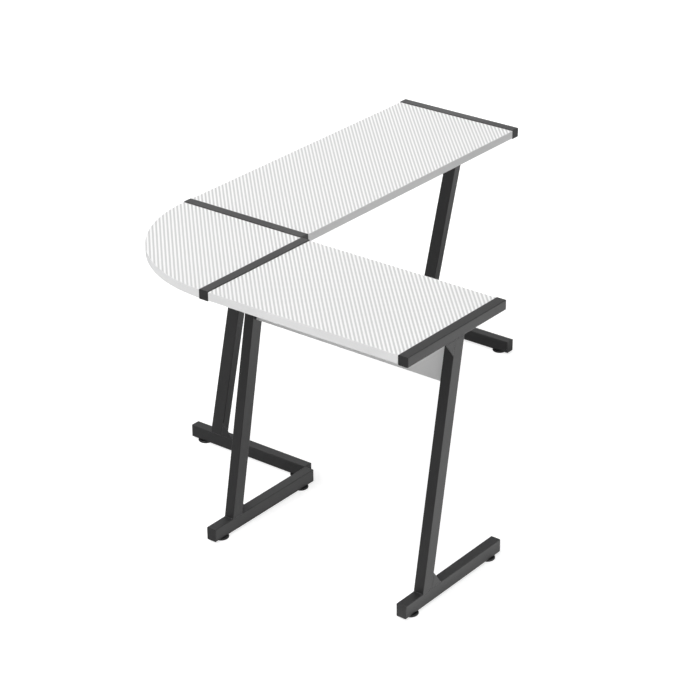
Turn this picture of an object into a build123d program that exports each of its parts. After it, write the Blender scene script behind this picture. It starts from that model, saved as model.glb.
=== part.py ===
from build123d import *
import math
import os

# Corner desk: two straight wings and a quarter-round corner, on four leaning steel frames.
# Millimetres, +Z up. The origin is on the floor, at the middle of the outer plan rectangle.
# The back wing runs along Y, the front wing along X, and the user sits on the +X +Y side.

os.makedirs("parts", exist_ok=True)

# --- overall layout ---
desk_depth = 420.0          # rear edge to user edge of every top, and length of the rails
desk_height = 750.0         # floor to the top of the rails
back_bay = 983.0            # clear length between the two rails of the back wing
front_bay = 608.0           # clear length between the two rails of the front wing

# --- steel frames, one welded from rail, column, foot bar and two gussets ---
frame_width = 30.0          # width shared by all three tubes, across the frame
tube_wall = 1.5
tube_corner = 2.0           # outside corner radius of every tube
rail_height = 28.0
foot_bar_height = 38.0
foot_bar_overhang = 2.0     # foot bar past the end of the rail, front and rear
level_at_user_end = "back_corner"   # its bar stops at the rail's end, clear of front_corner's
column_face = 40.0          # column size in its leaning plane, square to its own length
column_at_rail = 198.0      # rear edge of the tops to the rear of the column, under the rail
column_at_foot = 71.0       # the same, on top of the foot bar
gusset_thickness = 3.0
gusset_reach = 39.0         # along the rail or foot bar
gusset_rise = 42.0          # up or down the column

# --- tops ---
board_thickness = 23.5
board_drop = 2.0            # rail top to board top
board_gap = 0.5             # board to rail, each side
edge_band = 1.0             # plastic edging on every open edge
tab_width = 60.0            # steel support tab under a board, along the rail
tab_reach = 34.0
tab_inset = 70.0            # end of the rail to the middle of a tab
tab_hole_pitch = 36.0
tab_hole_reach = 20.0       # side of the rail to the screw holes

# --- modesty panels, one under each wing, on the middle of the columns ---
panel_thickness = 12.0
panel_height = 120.0        # measured up the lean
panel_top_gap = 8.0         # underside of the tops to the top edge of the panel
panel_gap = 0.5             # panel end to column
bracket_thickness = 2.0
bracket_width = 20.0
bracket_leg = 25.0          # leg on the panel
bracket_pitch = 70.0        # between the two brackets at one end

# --- screws ---
top_screw_d = 4.0
top_screw_length = 18.0
top_screw_head_d = 8.0
top_screw_head = 2.6
panel_screw_d = 3.5
panel_screw_length = 10.0
column_screw_d = 4.0
column_screw_length = 10.0
small_head_d = 7.0
small_head = 2.2
screw_clearance = 0.05      # screw to hole, on the radius
tab_clearance = 0.3         # screw to the holes it passes through, on the radius

# --- end plugs ---
plug_flange = 2.0
plug_body = 14.0            # length inside the tube
plug_clearance = 0.1        # plug to tube wall, each side
plug_wall = 2.0

# --- levelling feet: threaded insert, M8 stud, round pad ---
foot_inset = 39.5           # end of the foot bar to the middle of a foot
stud_d = 8.0
stud_length = 28.0          # above the pad
stud_head_d = 14.0
stud_head = 2.4
pad_diameter = 44.0
pad_thickness = 5.4
pad_sole = 1.2              # plastic below the stud head
pad_chamfer = 1.0
pad_gap = 0.3               # pad to insert with the foot screwed right in
head_clearance = 0.1        # stud head to its pocket in the pad
thread_clearance = 0.05     # stud to insert and to pad, on the radius
insert_flange_d = 15.0
insert_flange = 0.8
insert_sleeve_d = 11.0
insert_sleeve = 14.0
insert_clearance = 0.05     # sleeve to the hole in the foot bar, on the radius

# --- heights and places worked out from the sizes above ---
foot_bottom = pad_thickness + pad_gap + insert_flange
foot_top = foot_bottom + foot_bar_height
rail_bottom = desk_height - rail_height
board_top = desk_height - board_drop
board_bottom = board_top - board_thickness
tab_thickness = board_bottom - rail_bottom
panel_top = board_bottom - panel_top_gap

lean = math.atan2(column_at_rail - column_at_foot, rail_bottom - foot_top)
column_run = column_face / math.cos(lean)      # column size measured level

pad_overhang = max(0.0, (pad_diameter - frame_width) / 2)
wing_reach_x = 2 * frame_width + front_bay + pad_overhang
wing_reach_y = 2 * frame_width + back_bay + pad_overhang
rear_reach = desk_depth + foot_bar_overhang
corner_x = (rear_reach - wing_reach_x) / 2     # inner corner, where the two wings meet
corner_y = (rear_reach - wing_reach_y) / 2
rear_x = corner_x - desk_depth
rear_y = corner_y - desk_depth

# Each frame is drawn with its width from x = 0 to frame_width and its length from y = 0 at
# the rear to desk_depth at the user's side. A quarter turn lays the back wing's frames along X.
LEFT, RIGHT = -1, 1
FRAMES = {
    # name: (place, side of the frame that its wing's board is on, sides that carry tabs)
    "back_end": (
        Location((rear_x, corner_y + 2 * frame_width + back_bay, 0), (0, 0, -90)), RIGHT, (RIGHT,)),
    "back_corner": (
        Location((rear_x, corner_y + frame_width, 0), (0, 0, -90)), LEFT, (LEFT, RIGHT)),
    "front_corner": (
        Location((corner_x, rear_y, 0)), RIGHT, (LEFT, RIGHT)),
    "front_end": (
        Location((corner_x + frame_width + front_bay, rear_y, 0)), LEFT, (LEFT,)),
}
# A wing is drawn from x = 0 to its bay length between its two rails, with the same y.
WINGS = {
    "back": (Location((rear_x, corner_y + frame_width + back_bay, 0), (0, 0, -90)), back_bay),
    "front": (Location((corner_x + frame_width, rear_y, 0)), front_bay),
}


def column_rear(z):
    """Level distance from the rear end of the frame to the rear of the column at height z."""
    return column_at_foot + (z - foot_top) * math.tan(lean)


def tube_section(width, height):
    """Rounded rectangular ring, the section of every tube."""
    inner_corner = max(tube_corner - tube_wall, 0.3)
    ring = RectangleRounded(width, height, tube_corner)
    return ring - RectangleRounded(width - 2 * tube_wall, height - 2 * tube_wall, inner_corner)


def bar(height, bottom, rear_overhang=0.0, user_overhang=0.0):
    """Level tube along y, shorter than its own piece of the frame by the flanges of its plugs."""
    start = Plane(
        origin=(frame_width / 2, plug_flange - rear_overhang, bottom + height / 2),
        x_dir=(1, 0, 0), z_dir=(0, 1, 0))
    length = desk_depth + rear_overhang + user_overhang - 2 * plug_flange
    return extrude(start * tube_section(frame_width, height), length)


def end_plug(height, bottom, at_front, overhang=0.0):
    """Plastic plug: a flange over the tube's end and a hollow body pushed into it."""
    facing = 1 if at_front else -1
    end = desk_depth + overhang - plug_flange if at_front else plug_flange - overhang
    face = Plane(
        origin=(frame_width / 2, end, bottom + height / 2), x_dir=(1, 0, 0), z_dir=(0, facing, 0))
    inside_width = frame_width - 2 * (tube_wall + plug_clearance)
    inside_height = height - 2 * (tube_wall + plug_clearance)
    plug = extrude(face * RectangleRounded(frame_width, height, tube_corner), plug_flange)
    plug += extrude(face * RectangleRounded(inside_width, inside_height, 0.5), -plug_body)
    hollow = face.offset(-plug_wall) * Rectangle(
        inside_width - 2 * plug_wall, inside_height - 2 * plug_wall)
    return plug - extrude(hollow, -plug_body)


def rail():
    return bar(rail_height, rail_bottom)


def foot_points():
    """Where the two levelling feet stand under a foot bar."""
    middle = frame_width / 2
    inset = foot_inset - foot_bar_overhang
    return {"rear": (middle, inset), "front": (middle, desk_depth - inset)}


def user_end_overhang(name):
    """Foot bar past the rail at the user end. Two corner frames that both had it would cross."""
    return 0.0 if name == level_at_user_end else foot_bar_overhang


def foot_bar(user_overhang):
    """Lower tube, with a hole in its underside for each threaded insert."""
    tube = bar(foot_bar_height, foot_bottom, foot_bar_overhang, user_overhang)
    hole_r = insert_sleeve_d / 2 + insert_clearance
    for x, y in foot_points().values():
        tube -= Pos(x, y, foot_bottom) * Cylinder(hole_r, 4 * tube_wall)
    return tube


def panel_plane(bay):
    """Middle of a modesty panel: local x along the wing, y down the lean, z to the user."""
    up = Vector(0, math.sin(lean), math.cos(lean))
    z_middle = panel_top - panel_height / 2 * math.cos(lean)
    y_middle = column_rear(z_middle) + column_run / 2
    return Plane(origin=(bay / 2, y_middle, z_middle), x_dir=(1, 0, 0), z_dir=(0, up.Z, -up.Y))


def bracket_heights():
    return (-bracket_pitch / 2, bracket_pitch / 2)


def column_leg():
    """Length of the bracket leg that lies on the column: it stops at the tube's corner."""
    return column_face / 2 - panel_thickness / 2 - tube_corner


def column_screw_offset():
    return panel_thickness / 2 + bracket_thickness + (column_leg() - bracket_thickness) / 2


def column(bay_side):
    """Leaning tube, cut level at both ends, with two screw holes in the side its wing is on."""
    middle = (foot_top + rail_bottom) / 2
    across = Plane(
        origin=(frame_width / 2, column_rear(middle) + column_run / 2, middle),
        x_dir=(1, 0, 0), z_dir=(0, math.sin(lean), math.cos(lean)))
    long_tube = extrude(across * tube_section(frame_width, column_face), desk_height, both=True)
    between = Pos(frame_width / 2, desk_depth / 2, middle) * Box(
        2 * frame_width, 2 * desk_depth, rail_bottom - foot_top)
    tube = long_tube & between
    face_x = frame_width if bay_side == RIGHT else 0
    at = panel_plane(0)
    hole_r = column_screw_d / 2 + screw_clearance
    for down in bracket_heights():
        centre = at.from_local_coords(Vector(0, down, column_screw_offset()))
        tube -= Pos(face_x, centre.Y, centre.Z) * Rot(0, 90, 0) * Cylinder(hole_r, 3 * tube_wall)
    return tube


def gussets(bay_side):
    """Two triangular plates in the sharp corners of the Z, flush with the frame's outer side."""
    face_x = 0 if bay_side == RIGHT else frame_width - gusset_thickness
    side = Plane(origin=(face_x, 0, 0), x_dir=(0, 1, 0), z_dir=(1, 0, 0))
    upper = [
        (column_at_rail, rail_bottom),
        (column_at_rail - gusset_reach, rail_bottom),
        (column_rear(rail_bottom - gusset_rise), rail_bottom - gusset_rise),
    ]
    lower = [
        (column_at_foot + column_run, foot_top),
        (column_at_foot + column_run + gusset_reach, foot_top),
        (column_rear(foot_top + gusset_rise) + column_run, foot_top + gusset_rise),
    ]
    plates = [extrude(side * make_face(Polyline(*pts, close=True)), gusset_thickness)
              for pts in (upper, lower)]
    return Compound(children=plates)


def tab_hole_points(side):
    """Screw holes of the tabs on one side of a rail, in the frame's own x and y."""
    x = -tab_hole_reach if side == LEFT else frame_width + tab_hole_reach
    middles = (tab_inset, desk_depth - tab_inset)
    return [(x, middle + step) for middle in middles
            for step in (-tab_hole_pitch / 2, tab_hole_pitch / 2)]


def support_tabs(sides):
    """Flat plates welded to the rail's side, flush with its underside, that carry the boards."""
    tabs = []
    for side in sides:
        x_middle = -tab_reach / 2 if side == LEFT else frame_width + tab_reach / 2
        for y_middle in (tab_inset, desk_depth - tab_inset):
            tab = Pos(x_middle, y_middle, rail_bottom + tab_thickness / 2) * Box(
                tab_reach, tab_width, tab_thickness)
            outer = 0 if side == LEFT else -1
            tab = fillet(tab.edges().filter_by(Axis.Z).group_by(Axis.X)[outer], 6)
            for x, y in tab_hole_points(side):
                tab -= Pos(x, y, rail_bottom) * Cylinder(
                    top_screw_d / 2 + tab_clearance, 4 * tab_thickness)
            tabs.append(tab)
    return Compound(children=tabs)


def pan_screw(diameter, length, head_d, head):
    """Pan-head screw standing on z = 0, head below, point up."""
    dome = Pos(0, 0, -head / 2) * Cylinder(head_d / 2, head)
    dome = fillet(dome.edges().group_by(Axis.Z)[0], head * 0.6)
    shank = Pos(0, 0, (length - diameter) / 2) * Cylinder(diameter / 2, length - diameter)
    point = Pos(0, 0, length - diameter / 2) * Cone(diameter / 2, diameter / 8, diameter)
    return dome + shank + point


def top_screw_places():
    """Every screw that holds a top, on the underside of its tab."""
    return [place * Location((x, y, rail_bottom))
            for place, _, sides in FRAMES.values()
            for side in sides
            for x, y in tab_hole_points(side)]


def drill_for_top_screws(board):
    """Pilot holes in a board, in line with the tabs that carry it."""
    depth = top_screw_length - tab_thickness + 1
    pilot = Cylinder(top_screw_d / 2 + screw_clearance, depth)
    lift = board_bottom - rail_bottom + depth / 2
    for place in top_screw_places():
        board -= place * Pos(0, 0, lift) * pilot
    return board


def wing_board(name):
    place, bay = WINGS[name]
    core = Pos(bay / 2, desk_depth / 2, (board_top + board_bottom) / 2) * Box(
        bay - 2 * board_gap, desk_depth - 2 * edge_band, board_thickness)
    return drill_for_top_screws(place * core)


def wing_edge_bands(name):
    place, bay = WINGS[name]
    strip = Box(bay - 2 * board_gap, edge_band, board_thickness)
    z = (board_top + board_bottom) / 2
    strips = [place * Pos(bay / 2, y, z) * strip
              for y in (edge_band / 2, desk_depth - edge_band / 2)]
    return Compound(children=strips)


def quarter_disc(radius):
    """Quarter of a disc round the inner corner, held off both rails by the board gap."""
    disc = Pos(corner_x, corner_y, board_bottom) * Cylinder(
        radius, board_thickness, align=(Align.CENTER, Align.CENTER, Align.MIN))
    reach = 2 * desk_depth
    quarter = Pos(corner_x - board_gap - reach / 2, corner_y - board_gap - reach / 2,
                  board_bottom) * Box(reach, reach, 4 * board_thickness)
    return disc & quarter


def corner_board():
    return drill_for_top_screws(quarter_disc(desk_depth - edge_band))


def corner_edge_band():
    return quarter_disc(desk_depth) - quarter_disc(desk_depth - edge_band)


def modesty_panel(name):
    """Board between the two columns of a wing, leaning with them, drilled for its brackets."""
    place, bay = WINGS[name]
    middle = panel_plane(bay)
    length = bay - 2 * panel_gap
    panel = middle.location * Box(length, panel_height - 2 * edge_band, panel_thickness)
    depth = panel_screw_length - bracket_thickness + 1
    pilot = Cylinder(panel_screw_d / 2 + screw_clearance, depth)
    for x, y in panel_screw_points(length):
        panel -= middle.location * Pos(x, y, panel_thickness / 2 - depth / 2) * pilot
    return place * panel


def panel_edge_bands(name):
    place, bay = WINGS[name]
    strip = Box(bay - 2 * panel_gap, edge_band, panel_thickness)
    shift = (panel_height - edge_band) / 2
    at = panel_plane(bay).location
    return Compound(children=[place * at * Pos(0, y, 0) * strip for y in (-shift, shift)])


def panel_screw_points(length):
    x = length / 2 - bracket_leg * 0.6
    return [(end * x, y) for end in (-1, 1) for y in bracket_heights()]


def bracket(end):
    """Folded steel angle: one leg on the user's side of the panel, one on the column."""
    outer_x = bracket_leg / 2 * end
    on_panel = Pos(0, 0, bracket_thickness / 2) * Box(bracket_leg, bracket_width, bracket_thickness)
    on_column = Pos(outer_x - end * bracket_thickness / 2, 0, column_leg() / 2) * Box(
        bracket_thickness, bracket_width, column_leg())
    angle = on_panel + on_column
    inside = outer_x - end * (bracket_leg * 0.6 + panel_gap)
    angle -= Pos(inside, 0, 0) * Cylinder(panel_screw_d / 2 + tab_clearance, 4 * bracket_thickness)
    reach = column_screw_offset() - panel_thickness / 2
    angle -= Pos(outer_x, 0, reach) * Rot(0, 90, 0) * Cylinder(
        column_screw_d / 2 + tab_clearance, 4 * bracket_thickness)
    return angle


def panel_brackets():
    pieces = []
    for place, bay in WINGS.values():
        at = panel_plane(bay).location
        for end in (-1, 1):
            x = end * (bay / 2 - bracket_leg / 2)
            for y in bracket_heights():
                pieces.append(place * at * Pos(x, y, panel_thickness / 2) * bracket(end))
    return Compound(children=pieces)


def panel_screws():
    """Short screws through the brackets into the panels."""
    screw = Rot(180, 0, 0) * pan_screw(
        panel_screw_d, panel_screw_length, small_head_d, small_head)
    pieces = []
    for place, bay in WINGS.values():
        at = panel_plane(bay).location
        for x, y in panel_screw_points(bay - 2 * panel_gap):
            z = panel_thickness / 2 + bracket_thickness
            pieces.append(place * at * Pos(x, y, z) * screw)
    return Compound(children=pieces)


def column_screws():
    """Thread-forming screws through the brackets into the columns' side walls."""
    pieces = []
    for place, bay in WINGS.values():
        at = panel_plane(bay).location
        for end in (-1, 1):
            x = end * (bay / 2 - bracket_thickness)
            screw = Rot(0, end * 90, 0) * pan_screw(
                column_screw_d, column_screw_length, small_head_d, small_head)
            for y in bracket_heights():
                pieces.append(place * at * Pos(x, y, column_screw_offset()) * screw)
    return Compound(children=pieces)


def thread_insert():
    """Rivet nut: flange under the foot bar, sleeve inside it."""
    sleeve = Cylinder(insert_sleeve_d / 2, insert_sleeve, align=(Align.CENTER, Align.CENTER, Align.MIN))
    flange = Cylinder(insert_flange_d / 2, insert_flange, align=(Align.CENTER, Align.CENTER, Align.MAX))
    bore = Cylinder(stud_d / 2 + thread_clearance, 4 * insert_sleeve)
    return Pos(0, 0, foot_bottom) * (sleeve + flange - bore)


def turned(points):
    """Solid of revolution round z from (radius, height) points."""
    return revolve(Plane.XZ * make_face(Polyline(*points, close=True)), Axis.Z)


def foot_stud():
    """Round-headed M8 stud, its head held in the pad and its shank up in the insert."""
    r = stud_d / 2
    z_head = pad_sole + head_clearance
    z_top = pad_thickness + stud_length
    return turned([
        (0, z_head), (stud_head_d / 2, z_head), (stud_head_d / 2, z_head + stud_head),
        (r, z_head + stud_head), (r, z_top - 1), (r - 1, z_top), (0, z_top)])


def foot_pad():
    """Round plastic pad with a pocket for the stud's head."""
    outer = pad_diameter / 2
    neck = stud_d / 2 + thread_clearance
    pocket = stud_head_d / 2 + head_clearance
    pocket_top = pad_sole + stud_head + 2 * head_clearance
    return turned([
        (0, 0), (outer - pad_chamfer, 0), (outer, pad_chamfer),
        (outer, pad_thickness - pad_chamfer), (outer - pad_chamfer, pad_thickness),
        (neck, pad_thickness), (neck, pocket_top), (pocket, pocket_top),
        (pocket, pad_sole), (0, pad_sole)])


def save(shape, node):
    export_step(shape, f"parts/{node}.step")


# --- tops and their edging ---
for wing in WINGS:
    save(wing_board(wing), f"{wing}_top")
    save(wing_edge_bands(wing), f"{wing}_top_edge_bands")
save(corner_board(), "corner_top")
save(corner_edge_band(), "corner_top_edge_band")

# --- frames ---
rail_plugs, foot_plugs, inserts = [], [], []
for name, (place, bay_side, tab_sides) in FRAMES.items():
    save(place * rail(), f"{name}_rail")
    save(place * column(bay_side), f"{name}_column")
    save(place * foot_bar(user_end_overhang(name)), f"{name}_foot_bar")
    save(place * gussets(bay_side), f"{name}_gussets")
    save(place * support_tabs(tab_sides), f"{name}_support_tabs")
    for at_front, overhang in ((False, foot_bar_overhang), (True, user_end_overhang(name))):
        rail_plugs.append(place * end_plug(rail_height, rail_bottom, at_front))
        foot_plugs.append(place * end_plug(foot_bar_height, foot_bottom, at_front, overhang))
    for spot, (x, y) in foot_points().items():
        at = place * Pos(x, y, 0)
        inserts.append(at * thread_insert())
        save(at * foot_stud(), f"{name}_{spot}_stud")
        save(at * foot_pad(), f"{name}_{spot}_pad")
save(Compound(children=rail_plugs), "rail_end_plugs")
save(Compound(children=foot_plugs), "foot_end_plugs")
save(Compound(children=inserts), "foot_thread_inserts")

# --- modesty panels and fasteners ---
for wing in WINGS:
    save(modesty_panel(wing), f"{wing}_modesty_panel")
    save(panel_edge_bands(wing), f"{wing}_panel_edge_bands")
save(panel_brackets(), "panel_brackets")
save(panel_screws(), "panel_screws")
save(column_screws(), "column_screws")
one_screw = pan_screw(top_screw_d, top_screw_length, top_screw_head_d, top_screw_head)
save(Compound(children=[place * one_screw for place in top_screw_places()]), "top_screws")
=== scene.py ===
import math

import bmesh
import bpy
from mathutils import Matrix, Vector


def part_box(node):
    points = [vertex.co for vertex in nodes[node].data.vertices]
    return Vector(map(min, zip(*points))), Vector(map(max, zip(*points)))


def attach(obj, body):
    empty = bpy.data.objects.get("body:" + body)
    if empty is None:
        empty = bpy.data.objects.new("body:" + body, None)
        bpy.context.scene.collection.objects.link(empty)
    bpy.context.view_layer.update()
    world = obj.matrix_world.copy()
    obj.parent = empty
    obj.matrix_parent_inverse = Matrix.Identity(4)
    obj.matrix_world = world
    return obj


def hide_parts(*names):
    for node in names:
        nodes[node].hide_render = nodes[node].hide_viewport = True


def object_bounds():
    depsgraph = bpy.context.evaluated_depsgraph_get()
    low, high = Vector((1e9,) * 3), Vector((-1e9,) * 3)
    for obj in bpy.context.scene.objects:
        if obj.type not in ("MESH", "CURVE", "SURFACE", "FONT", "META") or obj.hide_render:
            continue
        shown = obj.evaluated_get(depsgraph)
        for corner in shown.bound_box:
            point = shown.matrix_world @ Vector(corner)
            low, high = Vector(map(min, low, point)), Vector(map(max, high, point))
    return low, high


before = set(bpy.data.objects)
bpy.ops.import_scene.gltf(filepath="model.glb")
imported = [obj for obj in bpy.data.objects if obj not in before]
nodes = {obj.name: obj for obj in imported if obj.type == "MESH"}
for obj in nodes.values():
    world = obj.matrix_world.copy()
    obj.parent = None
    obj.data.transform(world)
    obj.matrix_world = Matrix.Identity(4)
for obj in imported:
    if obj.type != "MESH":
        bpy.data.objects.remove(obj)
cad_low, cad_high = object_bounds()
MM = 0.001

# --- Steel frames -------------------------------------------------------------------------
# Four Z-shaped frames, each a rail, a leaning column and a foot bar of square steel tube with
# two gusset plates and flat tabs. They are welded, then powder coated satin black in one go.


def add(tree, kind, inputs=None, **settings):
    """A node with its settings and inputs; an input is a value or another node's socket."""
    node = tree.nodes.new(kind)
    for name, value in settings.items():
        setattr(node, name, value)
    for key, value in (inputs or {}).items():
        if isinstance(value, bpy.types.NodeSocket):
            tree.links.new(value, node.inputs[key])
        else:
            node.inputs[key].default_value = value
    return node


def calc(tree, operation, a, b=0.0, c=0.0, clamp=False):
    """One Math node; returns its result."""
    return add(tree, "ShaderNodeMath", {0: a, 1: b, 2: c},
               operation=operation, use_clamp=clamp).outputs[0]


def ramp(tree, value, low, high, out_low=0.0, out_high=1.0):
    """Smooth step of a value between low and high."""
    return add(tree, "ShaderNodeMapRange",
               {"Value": value, "From Min": low, "From Max": high,
                "To Min": out_low, "To Max": out_high},
               interpolation_type="SMOOTHSTEP").outputs["Result"]


def blend(tree, amount, a, b):
    """Mix of two colours."""
    node = add(tree, "ShaderNodeMix", data_type="RGBA")
    for socket, value in zip((node.inputs[0], node.inputs[6], node.inputs[7]), (amount, a, b)):
        if isinstance(value, bpy.types.NodeSocket):
            tree.links.new(value, socket)
        else:
            socket.default_value = value
    return node.outputs[2]


def shader_group(name, inputs, outputs):
    """Empty node group with named inputs (name, type, value) and outputs (name, type)."""
    tree = bpy.data.node_groups.new(name, "ShaderNodeTree")
    for label, kind, value in inputs:
        socket = tree.interface.new_socket(label, in_out="INPUT", socket_type=kind)
        socket.default_value = value
    for label, kind in outputs:
        tree.interface.new_socket(label, in_out="OUTPUT", socket_type=kind)
    return tree, tree.nodes.new("NodeGroupInput").outputs, tree.nodes.new("NodeGroupOutput").inputs


def worn_arris_group():
    """Finds outside edges: a mask broken up by noise, and a normal that rounds the edge over."""
    tree, given, out = shader_group(
        "worn_arris",
        [("Radius", "NodeSocketFloat", 0.0006), ("Breakup", "NodeSocketFloat", 90.0)],
        [("Mask", "NodeSocketFloat"), ("Normal", "NodeSocketVector")])
    rounded = add(tree, "ShaderNodeBevel", {"Radius": given["Radius"]}, samples=4)
    flat = add(tree, "ShaderNodeNewGeometry")
    facing = add(tree, "ShaderNodeVectorMath",
                 {0: rounded.outputs[0], 1: flat.outputs["Normal"]}, operation="DOT_PRODUCT")
    edge = ramp(tree, calc(tree, "SUBTRACT", 1.0, facing.outputs["Value"]), 0.01, 0.22)
    place = add(tree, "ShaderNodeTexCoord")
    noise = add(tree, "ShaderNodeTexNoise",
                {"Vector": place.outputs["Object"], "Scale": given["Breakup"], "Detail": 4.0})
    patchy = ramp(tree, noise.outputs["Fac"], 0.42, 0.62)
    tree.links.new(calc(tree, "MULTIPLY", edge, patchy), out["Mask"])
    tree.links.new(rounded.outputs[0], out["Normal"])
    return tree


def surface_grain_group():
    """Fine texture of a coated or moulded face, with broad patches that are a little duller."""
    tree, given, out = shader_group(
        "surface_grain",
        [("Scale", "NodeSocketFloat", 900.0), ("Patch Scale", "NodeSocketFloat", 7.0),
         ("Roughness", "NodeSocketFloat", 0.4), ("Spread", "NodeSocketFloat", 0.1)],
        [("Height", "NodeSocketFloat"), ("Roughness", "NodeSocketFloat"),
         ("Patches", "NodeSocketFloat")])
    place = add(tree, "ShaderNodeTexCoord").outputs["Object"]
    fine = add(tree, "ShaderNodeTexNoise",
               {"Vector": place, "Scale": given["Scale"], "Detail": 3.0, "Roughness": 0.6})
    broad = add(tree, "ShaderNodeTexNoise",
                {"Vector": place, "Scale": given["Patch Scale"], "Detail": 5.0})
    patches = ramp(tree, broad.outputs["Fac"], 0.3, 0.7)
    swing = calc(tree, "MULTIPLY", calc(tree, "SUBTRACT", patches, 0.5), given["Spread"])
    tree.links.new(fine.outputs["Fac"], out["Height"])
    tree.links.new(calc(tree, "ADD", given["Roughness"], swing, clamp=True), out["Roughness"])
    tree.links.new(patches, out["Patches"])
    return tree


worn_arris = worn_arris_group()
surface_grain = surface_grain_group()


def placed(tree, group, values):
    """A group put into a material with its own values."""
    node = tree.nodes.new("ShaderNodeGroup")
    node.node_tree = group
    for key, value in values.items():
        node.inputs[key].default_value = value
    return node


def finish_material(name, specular):
    """New material; returns it with its tree and its Principled shader."""
    material = bpy.data.materials.new(name)
    material.use_nodes = True
    tree = material.node_tree
    shader = tree.nodes["Principled BSDF"]
    shader.inputs["Specular IOR Level"].default_value = specular
    return material, tree, shader


def raise_surface(tree, shader, height, normal, depth, strength=1.0):
    """Bump of a real depth in metres, over the rounded edge normal."""
    bump = add(tree, "ShaderNodeBump",
               {"Height": height, "Normal": normal, "Distance": depth, "Strength": strength})
    tree.links.new(bump.outputs["Normal"], shader.inputs["Normal"])


def dress(node_names, material):
    """Gives CAD nodes a finished material in place of their own."""
    for name in node_names:
        slots = nodes[name].data.materials
        slots.clear()
        slots.append(material)


def powder_coat():
    """Satin black polyester powder: orange peel, thinner and shinier over the tube corners, and lighter
    there, partly rubbed coat and partly a painted highlight.
    """
    shinier_when_worn = 0.08
    material, tree, shader = finish_material("satin_black_powder_coat", 0.34)
    edge = placed(tree, worn_arris, {"Radius": 2.0 * MM, "Breakup": 60.0})
    grain = placed(tree, surface_grain,
                   {"Scale": 620.0, "Patch Scale": 5.0, "Roughness": 0.36, "Spread": 0.1})
    body = blend(tree, grain.outputs["Patches"],
                 (0.0125, 0.0125, 0.013, 1), (0.0165, 0.0165, 0.017, 1))
    # lighter colour along the tube corners: rubbed-thin coat, and partly a painted highlight on the arris
    tone = blend(tree, edge.outputs["Mask"], body, (0.075, 0.075, 0.077, 1))
    tree.links.new(tone, shader.inputs["Base Color"])
    duller = calc(tree, "SUBTRACT", grain.outputs["Roughness"],
                  calc(tree, "MULTIPLY", edge.outputs["Mask"], shinier_when_worn), clamp=True)
    tree.links.new(duller, shader.inputs["Roughness"])
    raise_surface(tree, shader, grain.outputs["Height"], edge.outputs["Normal"], 0.06 * MM)
    return material


powder_black = powder_coat()
FRAMES = ("back_end", "back_corner", "front_corner", "front_end")
dress([f"{name}_{part}" for name in FRAMES
       for part in ("rail", "column", "foot_bar", "gussets", "support_tabs")], powder_black)

# --- Weld beads ---------------------------------------------------------------------------
# Short rippled fillets where column meets rail and foot bar, inside each gusset plate and
# along each tab, and fills ground level with the tubes on the flush sides, all powder coated.


def geometry_tree(name, inputs):
    """Geometry Nodes tree with a mesh in and out and named inputs (name, type, value)."""
    tree = bpy.data.node_groups.new(name, "GeometryNodeTree")
    tree.interface.new_socket("Geometry", in_out="INPUT", socket_type="NodeSocketGeometry")
    for label, kind, value in inputs:
        socket = tree.interface.new_socket(label, in_out="INPUT", socket_type=kind)
        if value is not None:
            socket.default_value = value
    tree.interface.new_socket("Geometry", in_out="OUTPUT", socket_type="NodeSocketGeometry")
    return tree, tree.nodes.new("NodeGroupInput").outputs, tree.nodes.new("NodeGroupOutput").inputs


def close_tree(tree, given, out, geometry):
    """Every tree ends in Realize Instances and Set Material."""
    real = add(tree, "GeometryNodeRealizeInstances", {0: geometry})
    coated = add(tree, "GeometryNodeSetMaterial",
                 {"Geometry": real.outputs[0], "Material": given["Material"]})
    tree.links.new(coated.outputs[0], out["Geometry"])


def grow(name, seed_mesh, tree, values, body, replaces=()):
    """Runs a tree on a seed mesh and keeps the result as a plain mesh on one body."""
    seed = bpy.data.objects.new(name + "_seed", seed_mesh)
    bpy.context.scene.collection.objects.link(seed)
    modifier = seed.modifiers.new("grow", "NODES")
    modifier.node_group = tree
    for item in tree.interface.items_tree:
        if item.in_out == "INPUT" and item.name in values:
            modifier[item.identifier] = values[item.name]
    bpy.context.view_layer.update()
    graph = bpy.context.evaluated_depsgraph_get()
    mesh = bpy.data.meshes.new_from_object(seed.evaluated_get(graph), depsgraph=graph)
    seed.modifiers.remove(modifier)
    bpy.data.objects.remove(seed)
    mesh.name = name
    return settle(name, mesh, body, replaces)


def settle(name, mesh, body, replaces=()):
    """Puts a finished mesh on its body and hides the CAD parts that it replaces."""
    piece = bpy.data.objects.new(name, mesh)
    bpy.context.scene.collection.objects.link(piece)
    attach(piece, body)
    if replaces:
        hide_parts(*replaces)
    return piece


def solids_of(node_name):
    """Vertex places of each separate solid in a CAD node, in an order that is always the same."""
    bm = bmesh.new()
    bm.from_mesh(nodes[node_name].data)
    bmesh.ops.remove_doubles(bm, verts=bm.verts, dist=1e-6)
    left, solids = set(bm.verts), []
    while left:
        stack, found = [left.pop()], []
        while stack:
            vert = stack.pop()
            found.append(vert.co.copy())
            for edge in vert.link_edges:
                other = edge.other_vert(vert)
                if other in left:
                    left.remove(other)
                    stack.append(other)
        solids.append(sorted(found, key=tuple))
    bm.free()
    return sorted(solids, key=lambda s: tuple(round(v, 5) for v in sum(s, Vector()) / len(s)))


def line_mesh(name, lines):
    """Loose edges, one between each pair of points."""
    mesh = bpy.data.meshes.new(name)
    ends = [p for line in lines for p in line]
    mesh.from_pydata(ends, [(i, i + 1) for i in range(0, len(ends), 2)], [])
    return mesh


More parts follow.
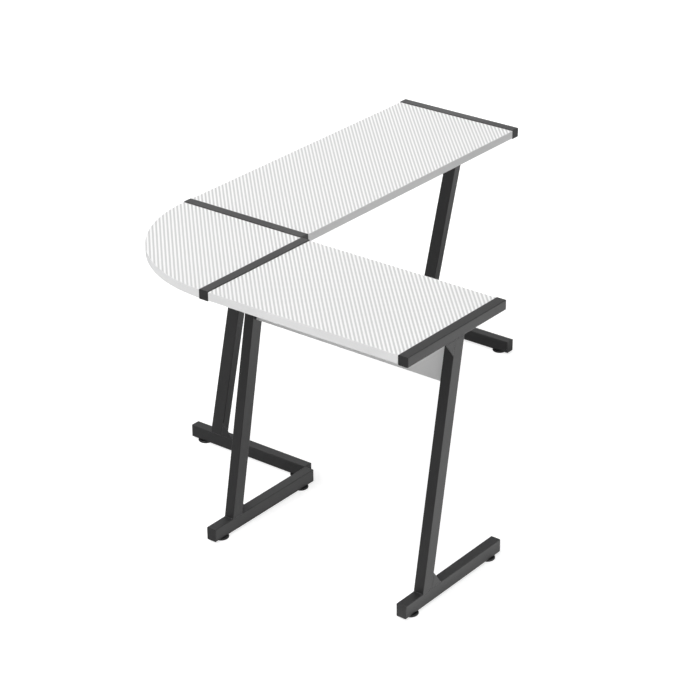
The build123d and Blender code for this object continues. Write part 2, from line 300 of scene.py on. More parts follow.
def weld_tree():
    """Overlapping ripples of a hand-laid bead along each line."""
    tree, given, out = geometry_tree("weld_ripples", [
        ("Ripple Pitch", "NodeSocketFloat", 1.1 * MM), ("Bead Radius", "NodeSocketFloat", 1.5 * MM),
        ("Unevenness", "NodeSocketFloat", 0.12), ("Seed", "NodeSocketInt", 4),
        ("Material", "NodeSocketMaterial", None)])
    path = add(tree, "GeometryNodeMeshToCurve", {0: given["Geometry"]})
    steps = add(tree, "GeometryNodeCurveToPoints",
                {"Curve": path.outputs[0], "Length": given["Ripple Pitch"]}, mode="LENGTH")
    ripple = add(tree, "GeometryNodeMeshUVSphere",
                 {"Segments": 8, "Rings": 4, "Radius": given["Bead Radius"]})
    low = calc(tree, "SUBTRACT", 1.0, given["Unevenness"])
    high = calc(tree, "ADD", 1.0, given["Unevenness"])
    size = add(tree, "FunctionNodeRandomValue", {2: low, 3: high, "Seed": given["Seed"]},
               data_type="FLOAT")
    beads = add(tree, "GeometryNodeInstanceOnPoints",
                {"Points": steps.outputs["Points"], "Instance": ripple.outputs["Mesh"],
                 "Rotation": steps.outputs["Rotation"], "Scale": size.outputs[1]})
    smooth = add(tree, "GeometryNodeSetShadeSmooth", {0: beads.outputs[0]})
    close_tree(tree, given, out, smooth.outputs[0])
    return tree


same_plane = 0.01 * MM


def rail_axes(name):
    """A rail's low and high corners, the axis that it runs along and the one across it."""
    low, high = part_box(f"{name}_rail")
    run, cross = (0, 1) if high.x - low.x > high.y - low.y else (1, 0)
    return low, high, run, cross


def column_ends(name, run):
    """Both ends of a column: height, rear edge, front edge, and 1 at the top or -1 at the foot."""
    column = [v.co for v in nodes[f"{name}_column"].data.vertices]
    for z, outwards in ((max(v.z for v in column), 1), (min(v.z for v in column), -1)):
        ring = [v[run] for v in column if abs(v.z - z) < same_plane]
        yield z, min(ring), max(ring), outwards


def point_at(run, cross, along, aside, z):
    """Point at a place along a frame, a place across it and a height."""
    point = Vector((0, 0, z))
    point[run], point[cross] = along, aside
    return point


def plate_seams(plate, cross, face):
    """Corners of one face of a gusset plate, and its two edges that meet tubes."""
    corners = []
    for p in plate:
        if abs(p[cross] - face) < same_plane and all((p - q).length > MM for q in corners):
            corners.append(p)
    edges = [(corners[i], corners[j]) for i, j in ((0, 1), (1, 2), (0, 2))]
    edges.sort(key=lambda ends: (ends[0] - ends[1]).length)
    return corners, edges[:2]


def across_lines(name):
    """Weld lines over the front and rear of a column, under its rail and on its foot bar."""
    low, high, run, cross = rail_axes(name)
    short_of_side = 2.2 * MM
    for z, rear, front, _ in column_ends(name, run):
        for edge in (rear, front):
            yield [point_at(run, cross, edge, side, z)
                   for side in (low[cross] + short_of_side, high[cross] - short_of_side)]


def gusset_lines(name):
    """Weld lines behind a gusset plate, along its two edges that meet tubes."""
    low, high, _, cross = rail_axes(name)
    middle = (low[cross] + high[cross]) / 2
    for plate in solids_of(f"{name}_gussets"):
        inner = min(plate, key=lambda p: abs(p[cross] - middle))[cross]
        yield from plate_seams(plate, cross, inner)[1]


def tab_lines(name):
    """Weld lines where each tab meets the rounded corner of its rail."""
    low, high, run, cross = rail_axes(name)
    above_underside = 0.9 * MM
    short_of_end = MM
    for tab in solids_of(f"{name}_support_tabs"):
        centre = sum(tab, Vector()) / len(tab)
        root = low[cross] if centre[cross] < low[cross] else high[cross]
        ends = (min(p[run] for p in tab) + short_of_end, max(p[run] for p in tab) - short_of_end)
        yield [point_at(run, cross, end, root, low.z + above_underside) for end in ends]


weld_lines = [line for name in FRAMES for find in (across_lines, gusset_lines, tab_lines)
              for line in find(name)]
grow("weld_beads", line_mesh("weld_lines", weld_lines), weld_tree(),
     {"Ripple Pitch": 1.1 * MM, "Bead Radius": 1.35 * MM, "Unevenness": 0.12, "Seed": 4,
      "Material": powder_black}, "desk")


def ground_seams(name, depth):
    """Lines inside the flush grooves: where a column end meets its tubes on both sides, and
    along the two welded edges of each gusset on the outer side."""
    low, high, run, cross = rail_axes(name)
    for z, rear, front, outwards in column_ends(name, run):
        for side in (low[cross] + depth, high[cross] - depth):
            yield [point_at(run, cross, edge, side, z + outwards * depth)
                   for edge in (rear + depth, front - depth)]
    middle = (low[cross] + high[cross]) / 2
    step_back = 0.04 * MM   # keeps the fills that meet at a gusset's corner out of one plane
    for plate in solids_of(f"{name}_gussets"):
        outer = max(plate, key=lambda p: abs(p[cross] - middle))[cross]
        corners, seams = plate_seams(plate, cross, outer)
        root = next(p for p in seams[0] if any(p is q for q in seams[1]))
        centre = sum(corners, Vector()) / len(corners)
        for step, pair in enumerate(seams, start=1):
            inward = Vector((0, 0, 0))
            inward[cross] = math.copysign(depth + step * step_back, middle - outer)
            tip = pair[0] if pair[1] is root else pair[1]
            along = (tip - root).normalized()
            away = (root - centre) - along * (root - centre).dot(along)
            shift = away.normalized() * depth + inward
            yield root - along * 2 * depth + shift, tip + shift


def ground_tree():
    """A square fill laid along each line, as a weld ground level with both tubes."""
    tree, given, out = geometry_tree("ground_flush_welds", [
        ("Width", "NodeSocketFloat", 2 * MM), ("Material", "NodeSocketMaterial", None)])
    path = add(tree, "GeometryNodeMeshToCurve", {0: given["Geometry"]})
    upright = add(tree, "GeometryNodeSetCurveNormal", {0: path.outputs[0]}, mode="Z_UP")
    section = add(tree, "GeometryNodeCurvePrimitiveQuadrilateral",
                  {"Width": given["Width"], "Height": given["Width"]})
    fill = add(tree, "GeometryNodeCurveToMesh",
               {"Curve": upright.outputs[0], "Profile Curve": section.outputs[0],
                "Fill Caps": True})
    close_tree(tree, given, out, fill.outputs[0])
    return tree


tube_corner = 2.0 * MM
flush_lines = [line for name in FRAMES for line in ground_seams(name, tube_corner / 2)]
grow("ground_welds", line_mesh("flush_seams", flush_lines), ground_tree(),
     {"Width": tube_corner, "Material": powder_black}, "desk")

# --- End plugs ----------------------------------------------------------------------------
# Black polyethylene caps pushed into every open tube end. Their faces carry the fine
# spark-eroded texture of the mould, and their edges are a little polished by handling.


def moulded_black(name, tone, roughness, scale, depth):
    """Black moulding: duller where the mould's texture is deep, greyer on handled edges."""
    dull_patches, polished_edges = 0.8, 2.2
    material, tree, shader = finish_material(name, 0.4)
    edge = placed(tree, worn_arris, {"Radius": 0.5 * MM, "Breakup": 140.0})
    grain = placed(tree, surface_grain,
                   {"Scale": scale, "Patch Scale": 22.0, "Roughness": roughness, "Spread": 0.12})
    darker = tuple(c * dull_patches for c in tone[:3]) + (1,)
    lighter = tuple(c * polished_edges for c in tone[:3]) + (1,)
    body = blend(tree, grain.outputs["Patches"], darker, tone)
    tree.links.new(blend(tree, edge.outputs["Mask"], body, lighter), shader.inputs["Base Color"])
    tree.links.new(grain.outputs["Roughness"], shader.inputs["Roughness"])
    raise_surface(tree, shader, grain.outputs["Height"], edge.outputs["Normal"], depth)
    return material


plug_black = moulded_black("plug_polyethylene", (0.013, 0.013, 0.0135, 1), 0.52, 1500.0, 0.08 * MM)
dress(["rail_end_plugs", "foot_end_plugs"], plug_black)

# --- Tops ---------------------------------------------------------------------------------
# Chipboard faced with white melamine, printed and lightly embossed with grey diagonal
# stripes that run on across all three boards. The boards drop in between the rails.


def striped_laminate():
    """Stripes count from the inner corner of the L, so that they line up across the boards."""
    period = 10.22 * MM
    across = math.radians(43.2)
    bright_from_corner = -0.336   # share of a stripe period
    stripe_edge = 0.22            # softness of the print, in the wave's own height
    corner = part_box("corner_top")[1]
    material, tree, shader = finish_material("striped_white_melamine", 0.4)
    edge = placed(tree, worn_arris, {"Radius": 0.35 * MM, "Breakup": 45.0})
    grain = placed(tree, surface_grain,
                   {"Scale": 1400.0, "Patch Scale": 3.0, "Roughness": 0.42, "Spread": 0.08})
    place = add(tree, "ShaderNodeTexCoord").outputs["Object"]
    axis = (math.cos(across) / period, math.sin(across) / period, 0)
    along = add(tree, "ShaderNodeVectorMath", {0: place, 1: axis}, operation="DOT_PRODUCT")
    start = corner.x * axis[0] + corner.y * axis[1] + bright_from_corner
    turns = calc(tree, "SUBTRACT", along.outputs["Value"], start)
    wave = calc(tree, "COSINE", calc(tree, "MULTIPLY", turns, 2 * math.pi))
    white_share = ramp(tree, wave, -stripe_edge, stripe_edge)
    face = add(tree, "ShaderNodeSeparateXYZ",
               {0: add(tree, "ShaderNodeNewGeometry").outputs["Normal"]}).outputs["Z"]
    on_top = ramp(tree, face, 0.5, 0.9)
    grey_share = calc(tree, "MULTIPLY", calc(tree, "SUBTRACT", 1.0, white_share), on_top)
    paper = blend(tree, grain.outputs["Patches"],
                  (0.885, 0.885, 0.885, 1), (0.91, 0.91, 0.908, 1))
    printed = blend(tree, grey_share, paper, (0.60, 0.60, 0.60, 1))
    tone = blend(tree, calc(tree, "MULTIPLY", edge.outputs["Mask"], 0.35), printed,
                 (0.70, 0.69, 0.67, 1))
    tree.links.new(tone, shader.inputs["Base Color"])
    satin = calc(tree, "ADD", grain.outputs["Roughness"],
                 calc(tree, "MULTIPLY", grey_share, 0.07), clamp=True)
    tree.links.new(satin, shader.inputs["Roughness"])
    emboss = calc(tree, "MULTIPLY_ADD", grey_share, -0.6,
                  calc(tree, "MULTIPLY", grain.outputs["Height"], 0.4))
    raise_surface(tree, shader, emboss, edge.outputs["Normal"], 0.05 * MM)
    return material


laminate = striped_laminate()
dress(["back_top", "front_top", "corner_top"], laminate)

# --- Edging -------------------------------------------------------------------------------
# Light grey ABS strip, 1 mm thick, hot-glued round every open edge of the tops and panels
# and trimmed flush, with faint lengthwise drag marks from the trimming cutter.


def abs_edging():
    """Edging in one light grey, with its drag marks drawn out along the strip."""
    material, tree, shader = finish_material("light_grey_abs_edging", 0.4)
    edge = placed(tree, worn_arris, {"Radius": 0.4 * MM, "Breakup": 110.0})
    grain = placed(tree, surface_grain,
                   {"Scale": 1100.0, "Patch Scale": 6.0, "Roughness": 0.4, "Spread": 0.1})
    place = add(tree, "ShaderNodeTexCoord").outputs["Object"]
    stretched = add(tree, "ShaderNodeMapping", {"Vector": place, "Scale": (6, 6, 900)})
    drag = add(tree, "ShaderNodeTexNoise",
               {"Vector": stretched.outputs[0], "Scale": 1.0, "Detail": 2.0})
    body = blend(tree, grain.outputs["Patches"],
                 (0.80, 0.80, 0.80, 1), (0.84, 0.84, 0.84, 1))
    tone = blend(tree, calc(tree, "MULTIPLY", edge.outputs["Mask"], 0.4), body,
                 (0.66, 0.66, 0.66, 1))
    tree.links.new(tone, shader.inputs["Base Color"])
    tree.links.new(grain.outputs["Roughness"], shader.inputs["Roughness"])
    height = calc(tree, "MULTIPLY_ADD", drag.outputs["Fac"], 0.5, grain.outputs["Height"])
    raise_surface(tree, shader, height, edge.outputs["Normal"], 0.03 * MM)
    return material


edging = abs_edging()
dress(["back_top_edge_bands", "front_top_edge_bands", "corner_top_edge_band",
       "back_panel_edge_bands", "front_panel_edge_bands"], edging)

# --- Modesty panels -----------------------------------------------------------------------
# Plain white melamine-faced board, one under each wing, leaning with the columns. Each is
# held by four folded brackets on the sitter's side.


def plain_laminate():
    """Melamine facing without the stripes, worn a little warm at its edges."""
    material, tree, shader = finish_material("plain_white_melamine", 0.38)
    edge = placed(tree, worn_arris, {"Radius": 0.3 * MM, "Breakup": 50.0})
    grain = placed(tree, surface_grain,
                   {"Scale": 1300.0, "Patch Scale": 4.0, "Roughness": 0.45, "Spread": 0.08})
    body = blend(tree, grain.outputs["Patches"],
                 (0.80, 0.80, 0.80, 1), (0.83, 0.83, 0.828, 1))
    tone = blend(tree, calc(tree, "MULTIPLY", edge.outputs["Mask"], 0.3), body,
                 (0.64, 0.63, 0.61, 1))
    tree.links.new(tone, shader.inputs["Base Color"])
    tree.links.new(grain.outputs["Roughness"], shader.inputs["Roughness"])
    raise_surface(tree, shader, grain.outputs["Height"], edge.outputs["Normal"], 0.04 * MM)
    return material


dress(["back_modesty_panel", "front_modesty_panel"], plain_laminate())

# --- Brackets and thread inserts ----------------------------------------------------------
# Folded steel angles that hold the panels, and rivet nuts set in the foot bars. Both are
# barrel plated in bright zinc, which leaves a fine brushed and slightly cloudy skin.


def bright_zinc():
    """Zinc plate: cloudy patches, and brighter metal where edges have rubbed."""
    material, tree, shader = finish_material("bright_zinc_plate", 0.5)
    shader.inputs["Metallic"].default_value = 1.0
    edge = placed(tree, worn_arris, {"Radius": 0.3 * MM, "Breakup": 200.0})
    grain = placed(tree, surface_grain,
                   {"Scale": 800.0, "Patch Scale": 60.0, "Roughness": 0.33, "Spread": 0.16})
    body = blend(tree, grain.outputs["Patches"],
                 (0.56, 0.58, 0.61, 1), (0.68, 0.69, 0.70, 1))
    tree.links.new(blend(tree, edge.outputs["Mask"], body, (0.80, 0.81, 0.82, 1)),
                   shader.inputs["Base Color"])
    tree.links.new(grain.outputs["Roughness"], shader.inputs["Roughness"])
    raise_surface(tree, shader, grain.outputs["Height"], edge.outputs["Normal"], 0.03 * MM)
    return material


zinc = bright_zinc()
dress(["panel_brackets", "foot_thread_inserts"], zinc)

# --- Screws -------------------------------------------------------------------------------
# Zinc-plated pan-head screws with a cross recess: 24 through the tabs into the tops, 8 into
# the panels and 8 into the columns. The heads show on the underside.


def screw_tree():
    """One screw, head up along +Z from its seat at z = 0, put on every point by its turn."""
    tree, given, out = geometry_tree("cross_recess_screws", [
        ("Head Diameter", "NodeSocketFloat", 8 * MM), ("Head Height", "NodeSocketFloat", 2.6 * MM),
        ("Shank Diameter", "NodeSocketFloat", 4 * MM), ("Length", "NodeSocketFloat", 18 * MM),
        ("Thread Pitch", "NodeSocketFloat", 1.8 * MM), ("Material", "NodeSocketMaterial", None)])
    root_to_crest, tip_to_root, threaded_share, point_to_root = 0.74, 0.62, 0.72, 0.2
    half_head = calc(tree, "MULTIPLY", given["Head Diameter"], 0.5)
    crest = calc(tree, "MULTIPLY", given["Shank Diameter"], 0.5)
    root = calc(tree, "MULTIPLY", crest, root_to_crest)

    # pan head: the upper half of a ball, squared off by two powers and no wider on its axis
    square_side, square_top, nearest_axis = -0.36, 0.64, 0.0001
    ball = add(tree, "GeometryNodeMeshUVSphere", {"Segments": 28, "Rings": 14, "Radius": 1.0})
    part = add(tree, "ShaderNodeSeparateXYZ", {0: add(tree, "GeometryNodeInputPosition").outputs[0]})
    out_from_axis = calc(tree, "SQRT", calc(
        tree, "ADD", calc(tree, "MULTIPLY", part.outputs["X"], part.outputs["X"]),
        calc(tree, "MULTIPLY", part.outputs["Y"], part.outputs["Y"])))
    widen = calc(tree, "MULTIPLY", half_head, calc(
        tree, "POWER", calc(tree, "MAXIMUM", out_from_axis, nearest_axis), square_side))
    rise = calc(tree, "MULTIPLY", given["Head Height"], calc(
        tree, "POWER", calc(tree, "MAXIMUM", part.outputs["Z"], 0.0), square_top))
    shaped = add(tree, "ShaderNodeCombineXYZ",
                 {"X": calc(tree, "MULTIPLY", part.outputs["X"], widen),
                  "Y": calc(tree, "MULTIPLY", part.outputs["Y"], widen), "Z": rise})
    head = add(tree, "GeometryNodeSetPosition",
               {"Geometry": ball.outputs["Mesh"], "Position": shaped.outputs[0]})

    # cross recess, cut from above by two bars whose middles lie at the top of the head
    bar_height, bar_length, bar_width = 1.2, 0.52, 0.12
    recess_depth = calc(tree, "MULTIPLY", given["Head Height"], bar_height)
    reach = calc(tree, "MULTIPLY", given["Head Diameter"], bar_length)
    slit = calc(tree, "MULTIPLY", given["Head Diameter"], bar_width)
    top = add(tree, "ShaderNodeCombineXYZ", {"Z": given["Head Height"]}).outputs[0]
    bars = []
    for x, y in ((reach, slit), (slit, reach)):
        box = add(tree, "ShaderNodeCombineXYZ", {"X": x, "Y": y, "Z": recess_depth}).outputs[0]
        bar = add(tree, "GeometryNodeMeshCube", {"Size": box})
        bars.append(add(tree, "GeometryNodeTransform",
                        {"Geometry": bar.outputs["Mesh"], "Translation": top}).outputs[0])
    cut = add(tree, "GeometryNodeMeshBoolean", {0: head.outputs[0]},
              operation="DIFFERENCE", solver="EXACT")
    for bar in bars:
        tree.links.new(bar, cut.inputs["Mesh 2"])

    # shank and its thread
    shank = add(tree, "GeometryNodeMeshCone",
                {"Vertices": 16, "Radius Top": calc(tree, "MULTIPLY", root, point_to_root),
                 "Radius Bottom": root, "Depth": given["Length"]})
    down = add(tree, "ShaderNodeCombineXYZ", {"X": math.pi}).outputs[0]
    shank_down = add(tree, "GeometryNodeTransform",
                     {"Geometry": shank.outputs["Mesh"], "Rotation": down})
    threaded = calc(tree, "MULTIPLY", given["Length"], threaded_share)
    helix = add(tree, "GeometryNodeCurveSpiral",
                {"Resolution": 12,
                 "Rotations": calc(tree, "DIVIDE", threaded, given["Thread Pitch"]),
                 "Start Radius": root,
                 "End Radius": calc(tree, "MULTIPLY", root, tip_to_root), "Height": threaded})
    upright = add(tree, "GeometryNodeSetCurveNormal", {0: helix.outputs[0]}, mode="Z_UP")
    ridge = add(tree, "GeometryNodeCurvePrimitiveCircle",
                {"Resolution": 4, "Radius": calc(tree, "SUBTRACT", crest, root)}, mode="RADIUS")
    thread = add(tree, "GeometryNodeCurveToMesh",
                 {"Curve": upright.outputs[0], "Profile Curve": ridge.outputs[0],
                  "Fill Caps": True})
    thread_down = add(tree, "GeometryNodeTransform",
                      {"Geometry": thread.outputs[0], "Rotation": down})
    screw = add(tree, "GeometryNodeJoinGeometry")
    for part_of_screw in (thread_down, shank_down, cut):
        tree.links.new(part_of_screw.outputs[0], screw.inputs[0])
    turn = add(tree, "GeometryNodeInputNamedAttribute", {"Name": "turn"}, data_type="FLOAT_VECTOR")
    turn_vector = next(s for s in turn.outputs if s.enabled and s.name == "Attribute")
    as_rotation = add(tree, "FunctionNodeEulerToRotation", {0: turn_vector})
    many = add(tree, "GeometryNodeInstanceOnPoints",
               {"Points": given["Geometry"], "Instance": screw.outputs[0],
                "Rotation": as_rotation.outputs[0]})
    close_tree(tree, given, out, many.outputs[0])
    return tree


def screw_seats(node_name, head_height):
    """Seat and head direction of every screw in a CAD node, from its round solids."""
    for solid in solids_of(node_name):
        low = Vector(min(p[i] for p in solid) for i in range(3))
        high = Vector(max(p[i] for p in solid) for i in range(3))
        middle = (low + high) / 2
        axis = screw_axis(solid, middle)
        ends = sorted((p - middle).dot(axis) for p in solid)
        radius = [((p - middle) - axis * (p - middle).dot(axis)).length for p in solid]
        rim = 0.9 * max(radius)
        wide = [(p - middle).dot(axis) for p, r in zip(solid, radius) if r > rim]
        head_up = sum(wide) / len(wide) > 0
        direction = axis if head_up else -axis
        tip = ends[-1] if head_up else -ends[0]
        yield middle + direction * (tip - head_height), direction


def screw_axis(solid, middle):
    """Axis of a long round solid: the candidate direction with the least spread around it."""
    def spread(axis):
        return max(((p - middle) - axis * (p - middle).dot(axis)).length for p in solid)
    upright = [Vector((1, 0, 0)), Vector((0, 1, 0)), Vector((0, 0, 1))]
    return min(upright + panel_normals(), key=spread)


def panel_normals():
    """Directions square to the two leaning panels."""
    found = []
    for name in ("back_modesty_panel", "front_modesty_panel"):
        mesh = nodes[name].data
        face = max(mesh.polygons, key=lambda f: f.area)
        found.append(Vector(face.normal))
    return found


def seat_mesh(name, seats):
    """A point at each seat with the turn of its screw, each driven home at another angle."""
    spin_between = 0.7
    mesh = bpy.data.meshes.new(name)
    mesh.from_pydata([seat for seat, _ in seats], [], [])
    turns = mesh.attributes.new("turn", "FLOAT_VECTOR", "POINT")
    for i, (_, direction) in enumerate(seats):
        spin = Matrix.Rotation(spin_between * i, 4, "Z")
        turn = direction.to_track_quat("Z", "Y").to_matrix().to_4x4() @ spin
        turns.data[i].vector = turn.to_euler()
    return mesh


screws = screw_tree()
SCREW_SIZES = {
    # CAD node: head diameter, head height, shank diameter, length, thread pitch, in mm
    "top_screws": (8.0, 2.6, 4.0, 18.0, 1.8),
    "panel_screws": (7.0, 2.2, 3.5, 10.0, 1.5),
    "column_screws": (7.0, 2.2, 4.0, 10.0, 1.4),
}
for node_name, (head_d, head_h, shank_d, length, pitch) in SCREW_SIZES.items():
    seats = list(screw_seats(node_name, head_h * MM))
    grow(node_name + "_cross_head", seat_mesh(node_name + "_seats", seats), screws,
         {"Head Diameter": head_d * MM, "Head Height": head_h * MM,
          "Shank Diameter": shank_d * MM, "Length": length * MM,
          "Thread Pitch": pitch * MM, "Material": zinc},
         "desk", [node_name])

# --- Levelling feet: studs ----------------------------------------------------------------
# M8 studs with a rolled thread and a round head, zinc plated. They screw up into the rivet
# nuts, and their thread shows once a foot is let down.


def turned_mesh(name, profile, steps):
    """Closed solid of revolution round z from (radius, height) points in mm."""
    bm = bmesh.new()
    ring = [bm.verts.new((r * MM, 0, z * MM)) for r, z in profile]
    pairs = list(zip(ring, ring[1:] + ring[:1]))
    edges = [bm.edges.new(pair) for pair in pairs
             if max(pair[0].co.x, pair[1].co.x) > 1e-9]
    bmesh.ops.spin(bm, geom=ring + edges, cent=(0, 0, 0), axis=(0, 0, 1),
                   angle=2 * math.pi, steps=steps, use_merge=True)
    bmesh.ops.remove_doubles(bm, verts=bm.verts, dist=1e-7)
    bmesh.ops.recalc_face_normals(bm, faces=bm.faces)
    mesh = bpy.data.meshes.new(name)
    bm.to_mesh(mesh)
    bm.free()
    return mesh


def stud_tree():
    """A thread wound round the plain stud that it is given, and both stood in place."""
    tree, given, out = geometry_tree("rolled_thread", [
        ("Pitch", "NodeSocketFloat", 1.25 * MM), ("Crest Radius", "NodeSocketFloat", 4 * MM),
        ("Thread Depth", "NodeSocketFloat", 0.6 * MM), ("Start", "NodeSocketFloat", 5 * MM),
        ("Length", "NodeSocketFloat", 27 * MM), ("Place", "NodeSocketVector", (0, 0, 0)),
        ("Material", "NodeSocketMaterial", None)])
    pitch_line = calc(tree, "SUBTRACT", given["Crest Radius"], given["Thread Depth"])
    helix = add(tree, "GeometryNodeCurveSpiral",
                {"Resolution": 24,
                 "Rotations": calc(tree, "DIVIDE", given["Length"], given["Pitch"]),
                 "Start Radius": pitch_line, "End Radius": pitch_line,
                 "Height": given["Length"]})
    upright = add(tree, "GeometryNodeSetCurveNormal", {0: helix.outputs[0]}, mode="Z_UP")
    ridge = add(tree, "GeometryNodeCurvePrimitiveCircle",
                {"Resolution": 4, "Radius": given["Thread Depth"]}, mode="RADIUS")
    thread = add(tree, "GeometryNodeCurveToMesh",
                 {"Curve": upright.outputs[0], "Profile Curve": ridge.outputs[0],
                  "Fill Caps": True})
    lift = add(tree, "ShaderNodeCombineXYZ", {"Z": given["Start"]}).outputs[0]
    lifted = add(tree, "GeometryNodeTransform",
                 {"Geometry": thread.outputs[0], "Translation": lift})
    stud = add(tree, "GeometryNodeJoinGeometry")
    for part in (lifted.outputs[0], given["Geometry"]):
        tree.links.new(part, stud.inputs[0])
    standing = add(tree, "GeometryNodeTransform",
                   {"Geometry": stud.outputs[0], "Translation": given["Place"]})
    close_tree(tree, given, out, standing.outputs[0])
    return tree


stud_thread = stud_tree()
SPOTS = [f"{name}_{end}" for name in FRAMES for end in ("rear", "front")]
crest, core, thread_depth, thread_pitch = 4.0, 3.35, 0.6, 1.25
thread_start, unthreaded = 3.6, 5.6
head_radius, head_height, head_chamfer = 7.0, 2.4, 0.4
tip_radius, tip_height = 2.4, 1.0
for spot in SPOTS:
    low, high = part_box(f"{spot}_stud")
    middle = (low + high) / 2
    tall = (high.z - low.z) / MM
    blank = turned_mesh(f"{spot}_blank", [
        (0, 0), (head_radius - head_chamfer, 0), (head_radius, head_chamfer),
        (head_radius, head_height - head_chamfer), (head_radius - head_chamfer, head_height),
        (core, head_height), (core, tall - tip_height), (tip_radius, tall), (0, tall)], steps=40)
    grow(f"{spot}_threaded_stud", blank, stud_thread,
         {"Pitch": thread_pitch * MM, "Crest Radius": crest * MM, "Thread Depth": thread_depth * MM,
          "Start": thread_start * MM, "Length": (tall - unthreaded) * MM,
          "Place": (middle.x, middle.y, low.z), "Material": zinc},
         f"{spot}_stud_body", [f"{spot}_stud"])

# --- Levelling feet: pads -----------------------------------------------------------------
# Round black nylon pads, clipped over the stud heads, with a ribbed rim to turn them by and
# a shallow ring moulded in the top.

pad_black = moulded_black("pad_nylon", (0.009, 0.009, 0.0095, 1), 0.46, 1200.0, 0.06 * MM)


def pad_tree():
    """A ring of upright ribs round the disc that it is given, and both stood in place."""
    tree, given, out = geometry_tree("ribbed_pad", [
        ("Rib Count", "NodeSocketInt", 36), ("Rim Radius", "NodeSocketFloat", 21.4 * MM),
        ("Rib Radius", "NodeSocketFloat", 0.6 * MM), ("Rib Height", "NodeSocketFloat", 3.2 * MM),
        ("Rib Centre", "NodeSocketFloat", 2.7 * MM), ("Place", "NodeSocketVector", (0, 0, 0)),
        ("Material", "NodeSocketMaterial", None)])
    ring = add(tree, "GeometryNodeMeshCircle",
               {"Vertices": given["Rib Count"], "Radius": given["Rim Radius"]})
    rib = add(tree, "GeometryNodeMeshCylinder",
              {"Vertices": 8, "Radius": given["Rib Radius"], "Depth": given["Rib Height"]})
    ribs = add(tree, "GeometryNodeInstanceOnPoints",
               {"Points": ring.outputs[0], "Instance": rib.outputs["Mesh"]})
    lift = add(tree, "ShaderNodeCombineXYZ", {"Z": given["Rib Centre"]}).outputs[0]
    lifted = add(tree, "GeometryNodeTransform",
                 {"Geometry": ribs.outputs[0], "Translation": lift})
    pad = add(tree, "GeometryNodeJoinGeometry")
    for part in (lifted.outputs[0], given["Geometry"]):
        tree.links.new(part, pad.inputs[0])
    standing = add(tree, "GeometryNodeTransform",
                   {"Geometry": pad.outputs[0], "Translation": given["Place"]})
    close_tree(tree, given, out, standing.outputs[0])
    return tree


ribbed_pad = pad_tree()
rib_radius, rib_short_of_faces, rib_count = 0.6, 2.2, 36
hollow_radius, hollow_depth, hollow_slope = 10, 0.5, 1
foot_chamfer, shoulder, shoulder_bulge = 1.0, 1.2, (0.35, 0.45)
groove_outer, groove_inner, groove_depth, groove_slope = 13.0, 9.8, 0.5, 0.6
stud_hole, socket_radius, socket_low, socket_high = 4.05, 7.1, 1.2, 3.8
for spot in SPOTS:
    low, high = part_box(f"{spot}_pad")
    middle = (low + high) / 2
    outer, tall = (high.x - low.x) / 2 / MM, (high.z - low.z) / MM
    rim = outer - rib_radius
    body = turned_mesh(f"{spot}_disc", [
        (0, hollow_depth), (hollow_radius - hollow_slope, hollow_depth), (hollow_radius, 0),
        (rim - foot_chamfer, 0), (rim, foot_chamfer), (rim, tall - shoulder),
        (rim - shoulder_bulge[0], tall - shoulder_bulge[1]), (rim - shoulder, tall),
        (groove_outer, tall), (groove_outer - groove_slope, tall - groove_depth),
        (groove_inner + groove_slope, tall - groove_depth), (groove_inner, tall),
        (stud_hole, tall), (stud_hole, socket_high), (socket_radius, socket_high),
        (socket_radius, socket_low), (0, socket_low)], steps=56)
    grow(f"{spot}_ribbed_pad", body, ribbed_pad,
         {"Rib Count": rib_count, "Rim Radius": rim * MM, "Rib Radius": rib_radius * MM,
          "Rib Height": (tall - rib_short_of_faces) * MM, "Rib Centre": tall / 2 * MM,
          "Place": (middle.x, middle.y, low.z), "Material": pad_black},
         f"{spot}_pad_body", [f"{spot}_pad"])

# --- Studio -------------------------------------------------------------------------------
# A pale floor that carries only a faint shadow, one broad soft light overhead and to the
# sitter's far side, and bounce cards that only the gloss of the coat picks up.


def pale_floor():
    """A wide floor just under the pads, which glows so that its far side stays white."""
    glow_given, glow_seen = 0.23, 0.55
    half_width, below_pads = 30.0, 0.2 * MM
    material = bpy.data.materials.new("pale_floor")
    material.use_nodes = True
    tree = material.node_tree
    shader = tree.nodes["Principled BSDF"]
    shader.inputs["Base Color"].default_value = (0.45, 0.45, 0.45, 1)
    shader.inputs["Roughness"].default_value = 1.0
    shader.inputs["Specular IOR Level"].default_value = 0.0
    shader.inputs["Emission Color"].default_value = (1, 1, 1, 1)
    path = add(tree, "ShaderNodeLightPath")
    glow = calc(tree, "MULTIPLY_ADD", path.outputs["Is Camera Ray"], glow_seen, glow_given)
    tree.links.new(glow, shader.inputs["Emission Strength"])
    mesh = bpy.data.meshes.new("floor")
    z = cad_low.z - below_pads
    corners = ((-1, -1), (1, -1), (1, 1), (-1, 1))
    mesh.from_pydata([(x * half_width, y * half_width, z) for x, y in corners], [], [(0, 1, 2, 3)])
    mesh.materials.append(material)
    floor = bpy.data.objects.new("floor", mesh)
    bpy.context.scene.collection.objects.link(floor)


def lamp(name, light, toward, place=(0, 0, 0)):
    """A lamp at a place; it shines from the direction it is turned toward."""
    holder = bpy.data.objects.new(name, light)
    holder.rotation_mode = "QUATERNION"
    holder.rotation_quaternion = Vector(toward).to_track_quat("Z", "Y")
    holder.location = place
    bpy.context.scene.collection.objects.link(holder)
    return holder


def soft_sun(name, toward, strength, angle):
    """A far lamp whose width, an angle in degrees, softens its shadows."""
    light = bpy.data.lights.new(name, "SUN")
    light.energy = strength
    light.angle = math.radians(angle)
    lamp(name, light, toward)


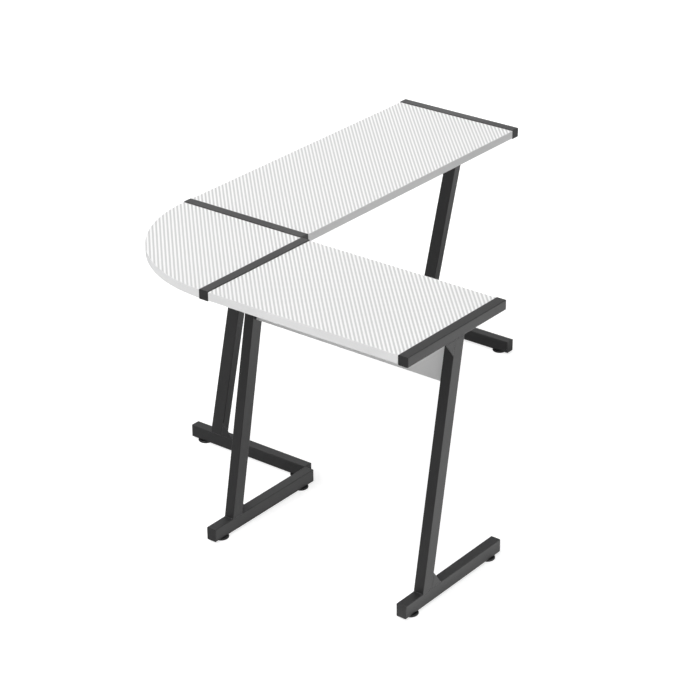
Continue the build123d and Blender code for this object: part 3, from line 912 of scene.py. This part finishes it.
def bounce_card(name, low, high, back_to, watts_per_square_metre):
    """Flat glowing card between two corners, its back to a direction, seen only by the gloss."""
    low, high = Vector(low), Vector(high)
    size = high - low
    light = bpy.data.lights.new(name, "AREA")
    light.shape = "RECTANGLE"
    turn = Vector(back_to).to_track_quat("Z", "Y")
    local = turn.inverted() @ size
    light.size, light.size_y = abs(local.x), abs(local.y)
    light.energy = watts_per_square_metre * light.size * light.size_y
    card = lamp(name, light, back_to, (low + high) / 2)
    card.visible_camera = False
    card.visible_diffuse = False
    card.visible_transmission = False


def soft_sky():
    """Dim for what is lit evenly, brighter for what is mirrored, with a bright window at +X."""
    window_glow, mirrored_glow = 1.8, 0.60
    seen_glow, lighting_glow = 0.8, 0.2
    world = bpy.data.worlds.new("studio")
    world.use_nodes = True
    tree = world.node_tree
    sky = tree.nodes["Background"]
    sky.inputs["Color"].default_value = (1, 1, 1, 1)
    path = add(tree, "ShaderNodeLightPath")
    toward = add(tree, "ShaderNodeSeparateXYZ",
                 {0: add(tree, "ShaderNodeTexCoord").outputs["Generated"]})
    window = calc(tree, "MULTIPLY", ramp(tree, toward.outputs["X"], 0.1, 0.4),
                  ramp(tree, toward.outputs["Z"], 0.2, 0.5))
    mirrored = calc(tree, "MULTIPLY", path.outputs["Is Glossy Ray"],
                    calc(tree, "MULTIPLY_ADD", window, window_glow, mirrored_glow))
    seen = calc(tree, "MULTIPLY_ADD", path.outputs["Is Camera Ray"], seen_glow, lighting_glow)
    unmirrored = calc(tree, "SUBTRACT", 1.0, path.outputs["Is Glossy Ray"])
    tree.links.new(calc(tree, "MULTIPLY_ADD", seen, unmirrored, mirrored),
                   sky.inputs["Strength"])
    bpy.context.scene.world = world


pale_floor()
soft_sky()
soft_sun("overhead", (-0.18, -0.48, 1.0), 3.08, 60)
on_floor = cad_low.z + MM
front_edge, back_edge = cad_low.y - 0.05, 1.9
bay_left, bay_right, cards_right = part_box("corner_top")[1].x + 0.04, cad_high.x + 0.02, cad_high.x + 2.0
strip_x, strip_front, strip_back = cad_low.x - 1.1, -0.3, 3.0
strip_bottom, strip_top = 1.42, 1.80
bounce_card("bay_bounce", (bay_left, front_edge, on_floor), (bay_right, back_edge, on_floor),
            (0, 0, -1), 2.0)
bounce_card("right_bounce", (bay_right, front_edge, on_floor), (cards_right, back_edge, on_floor),
            (0, 0, -1), 3.3)
bounce_card("left_strip", (strip_x, strip_front, strip_bottom), (strip_x, strip_back, strip_top),
            (-1, 0, 0), 4.0)

camera_data = bpy.data.cameras.new("camera")
camera_data.lens = 122.24
camera_data.sensor_width = 36.0
camera_data.clip_end = 200.0
camera = bpy.data.objects.new("camera", camera_data)
azimuth, elevation, roll = (math.radians(a) for a in (37.825, 26.0, -0.316))
aim, distance = Vector((0.1388, -0.4437, 0.540)), 6.2633
back = Vector((math.sin(azimuth) * math.cos(elevation),
               -math.cos(azimuth) * math.cos(elevation), math.sin(elevation)))
right = Vector((math.cos(azimuth), math.sin(azimuth), 0))
up = back.cross(right)
image_right = math.cos(roll) * right + math.sin(roll) * up
image_up = -math.sin(roll) * right + math.cos(roll) * up
place = aim + back * distance
camera.matrix_world = Matrix((
    (image_right.x, image_up.x, back.x, place.x),
    (image_right.y, image_up.y, back.y, place.y),
    (image_right.z, image_up.z, back.z, place.z),
    (0, 0, 0, 1)))
bpy.context.scene.collection.objects.link(camera)
bpy.context.scene.camera = camera
bpy.context.scene.view_settings.view_transform = "Standard"
